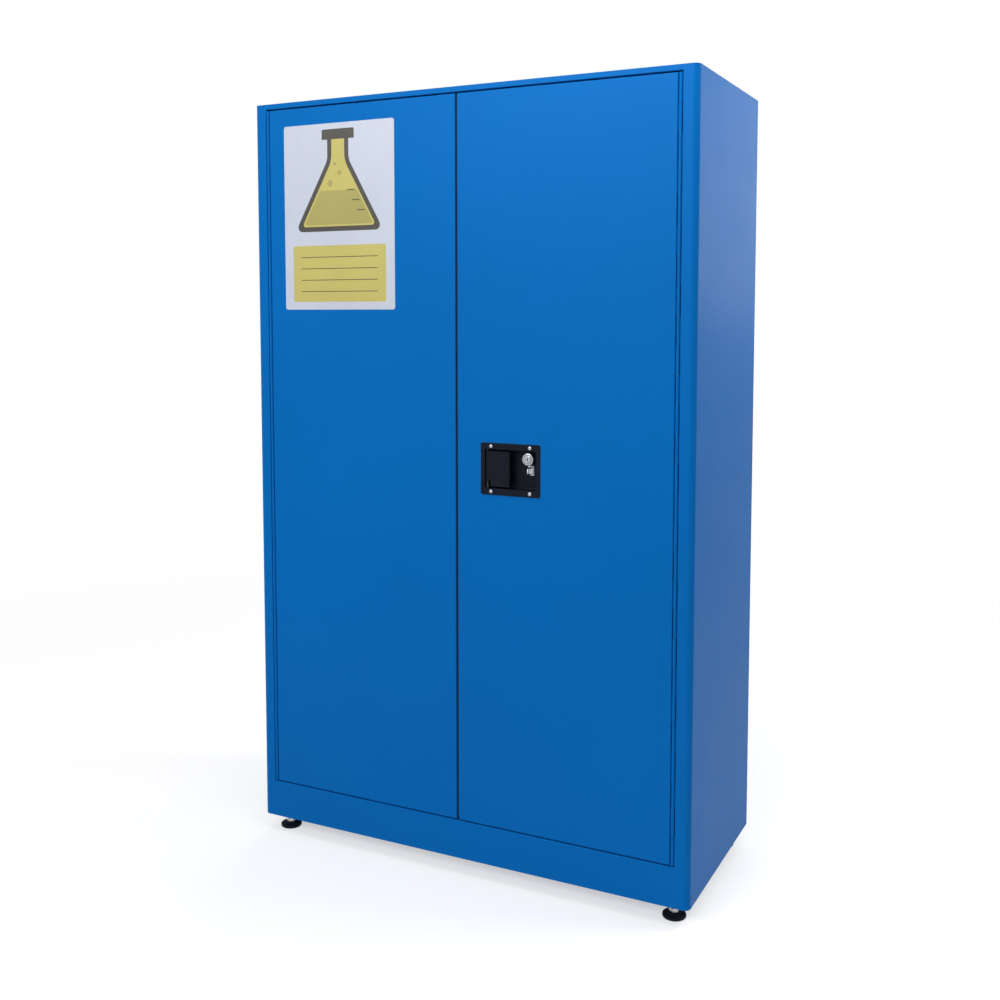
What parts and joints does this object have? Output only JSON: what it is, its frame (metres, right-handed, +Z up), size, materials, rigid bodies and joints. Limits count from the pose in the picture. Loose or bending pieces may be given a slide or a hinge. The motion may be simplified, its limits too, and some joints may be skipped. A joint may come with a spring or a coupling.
{
  "type": "two-door reagent storage cabinet",
  "caption": "Double-walled steel reagent cabinet with hinged doors, a recessed paddle latch, locking rods, lipped shelves, a spill sump and levelling feet.",
  "frame": {"origin": "on the floor, below the middle of the overall box", "axes": "+Z up, +X to the right seen from the front, the front faces -Y"},
  "size_m": [1.07, 0.4632, 1.74],
  "materials": {
    "blue_paint": "semi-gloss powder coat",
    "zinc_steel": "zinc plated",
    "shelf_steel": "galvanised",
    "chrome": "polished",
    "black_plastic": "fine satin grain",
    "seal_rubber": "matt",
    "plate_white": "satin laminate"
  },
  "bodies": {
    "cabinet": {"side_panel_left": "blue_paint", "side_panel_right": "blue_paint", "top_panel": "blue_paint", "base_panel": "blue_paint", "back_panel": "blue_paint", "front_sill": "blue_paint", "liner_left": "blue_paint", "liner_right": "blue_paint", "liner_back": "blue_paint", "liner_top": "blue_paint", "sump_tray": "blue_paint", "shelf_uprights": "shelf_steel", "shelf_clips": "zinc_steel", "shelf_lower": "shelf_steel", "shelf_middle": "shelf_steel", "shelf_upper": "shelf_steel", "strike_plates": "zinc_steel", "foot_weld_nuts": "zinc_steel", "foot_lock_nuts": "zinc_steel", "hinge_frame_leaf_left": "zinc_steel", "hinge_frame_leaf_right": "zinc_steel", "hinge_pin_left": "zinc_steel", "hinge_pin_right": "zinc_steel", "hinge_rivets_frame": "zinc_steel"},
    "left_door": {"door_left_skin": "blue_paint", "door_left_liner": "blue_paint", "door_left_gasket": "seal_rubber", "hinge_door_leaf_left": "zinc_steel", "hinge_rivets_left": "zinc_steel", "contents_plate": "plate_white", "meeting_seal": "seal_rubber", "bolt_guides": "zinc_steel"},
    "upper_bolt": {"bolt_top": "zinc_steel"},
    "lower_bolt": {"bolt_bottom": "zinc_steel"},
    "right_door": {"door_right_skin": "blue_paint", "door_right_liner": "blue_paint", "door_right_gasket": "seal_rubber", "hinge_door_leaf_right": "zinc_steel", "hinge_rivets_right": "zinc_steel", "latch_dish": "black_plastic", "latch_screws": "chrome", "paddle_pin": "zinc_steel", "paddle_spring": "zinc_steel", "lock_housing": "chrome", "padlock_staple": "chrome", "rod_guides": "zinc_steel"},
    "paddle": {"latch_paddle": "black_plastic"},
    "lock": {"lock_plug": "chrome", "lock_cam": "zinc_steel"},
    "upper_rod": {"rod_top": "zinc_steel"},
    "lower_rod": {"rod_bottom": "zinc_steel"},
    "foot_front_left": {"foot_pad_front_left": "black_plastic", "foot_stud_front_left": "zinc_steel"},
    "foot_front_right": {"foot_pad_front_right": "black_plastic", "foot_stud_front_right": "zinc_steel"},
    "foot_back_left": {"foot_pad_back_left": "black_plastic", "foot_stud_back_left": "zinc_steel"},
    "foot_back_right": {"foot_pad_back_right": "black_plastic", "foot_stud_back_right": "zinc_steel"}
  },
  "joints": [
    {"name": "left_door_swing", "type": "hinge", "parent": "cabinet", "child": "left_door", "pos_m": [-0.498, -0.2259, 0.927], "axis": [0, 0, -1], "range_deg": [0, 120]},
    {"name": "right_door_swing", "type": "hinge", "parent": "cabinet", "child": "right_door", "pos_m": [0.498, -0.2259, 0.927], "axis": [0, 0, 1], "range_deg": [0, 120]},
    {"name": "upper_bolt_slide", "type": "slide", "parent": "left_door", "child": "upper_bolt", "axis": [0, 0, 1], "range_m": [0, 0.012]},
    {"name": "lower_bolt_slide", "type": "slide", "parent": "left_door", "child": "lower_bolt", "axis": [0, 0, -1], "range_m": [0, 0.012]},
    {"name": "paddle_pull", "type": "hinge", "parent": "right_door", "child": "paddle", "pos_m": [0.0745, -0.2244, 0.923], "axis": [0, 0, -1], "range_deg": [0, 40], "stiffness_Nm_per_rad": 0.3, "springref_deg": -17.19},
    {"name": "lock_turn", "type": "hinge", "parent": "right_door", "child": "lock", "pos_m": [0.1695, -0.2014, 0.947], "axis": [0, -1, 0], "range_deg": [0, 90]},
    {"name": "upper_rod_slide", "type": "slide", "parent": "right_door", "child": "upper_rod", "axis": [0, 0, 1], "range_m": [0, 0.012]},
    {"name": "lower_rod_slide", "type": "slide", "parent": "right_door", "child": "lower_rod", "axis": [0, 0, -1], "range_m": [0, 0.012]},
    {"name": "foot_front_left_screw_out", "type": "slide", "parent": "cabinet", "child": "foot_front_left", "axis": [0, 0, -1], "range_m": [0, 0.012]},
    {"name": "foot_front_right_screw_out", "type": "slide", "parent": "cabinet", "child": "foot_front_right", "axis": [0, 0, -1], "range_m": [0, 0.012]},
    {"name": "foot_back_left_screw_out", "type": "slide", "parent": "cabinet", "child": "foot_back_left", "axis": [0, 0, -1], "range_m": [0, 0.012]},
    {"name": "foot_back_right_screw_out", "type": "slide", "parent": "cabinet", "child": "foot_back_right", "axis": [0, 0, -1], "range_m": [0, 0.012]}
  ],
  "couplings": [
    {"joint": "lock_turn", "follows": "upper_rod_slide", "rad_per_m": 130.9},
    {"joint": "lower_rod_slide", "follows": "upper_rod_slide", "ratio": 1}
  ]
}
